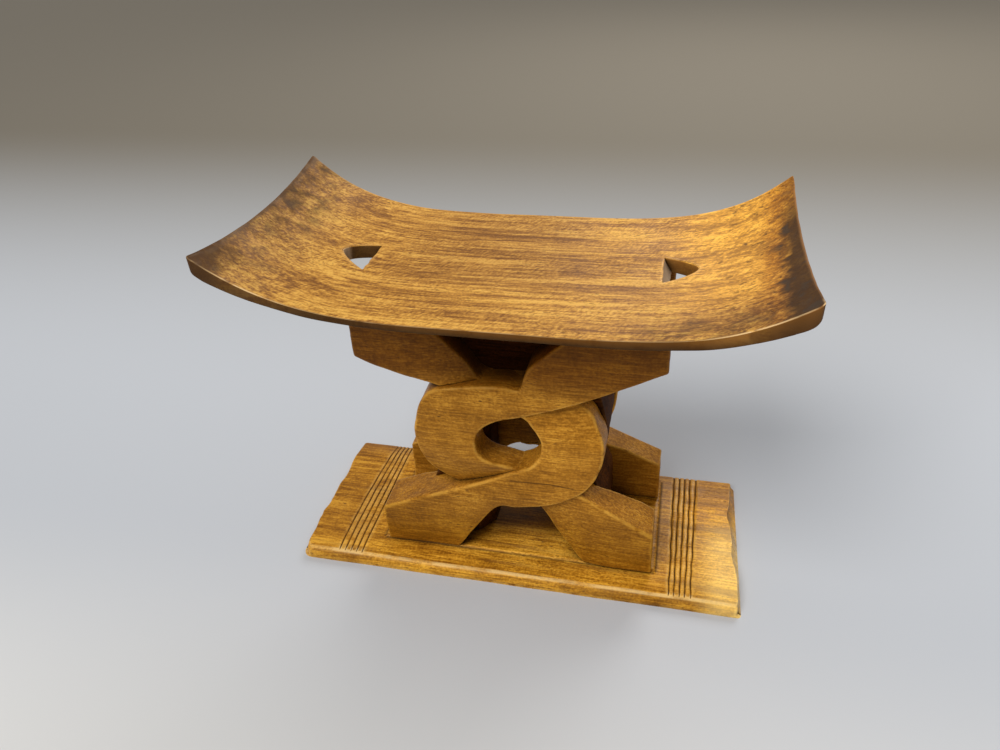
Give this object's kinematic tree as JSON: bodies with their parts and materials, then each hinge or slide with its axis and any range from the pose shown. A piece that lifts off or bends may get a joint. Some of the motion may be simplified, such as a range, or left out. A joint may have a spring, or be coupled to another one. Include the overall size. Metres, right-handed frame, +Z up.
{
  "type": "stool",
  "caption": "Carved wooden stool: long seat curving up at both ends with two hand holes, interlaced knot supports before and behind a hollow core, and a flat grooved base",
  "frame": {"origin": "middle of the base's underside, on the floor under the middle of the seat", "axes": "+Z up, +X along the seat to the right as seen from the front, +Y from the front knot to the rear knot"},
  "size_m": [0.5136, 0.2616, 0.4036],
  "materials": {
    "seat_wood": "satin, worn smooth by use, light golden",
    "base_wood": "satin, golden orange, grime in the grooves",
    "knot_wood": "satin, darker golden brown",
    "core_wood": "matte, dark, left from the chisel"
  },
  "bodies": {
    "root": {"seat": "seat_wood", "base": "base_wood", "front_left_loop_band": "knot_wood", "front_right_loop_band": "knot_wood", "rear_right_loop_band": "knot_wood", "rear_left_loop_band": "knot_wood", "left_core_wall": "core_wood", "right_core_wall": "core_wood", "core_lintel": "core_wood"}
  },
  "joints": []
}
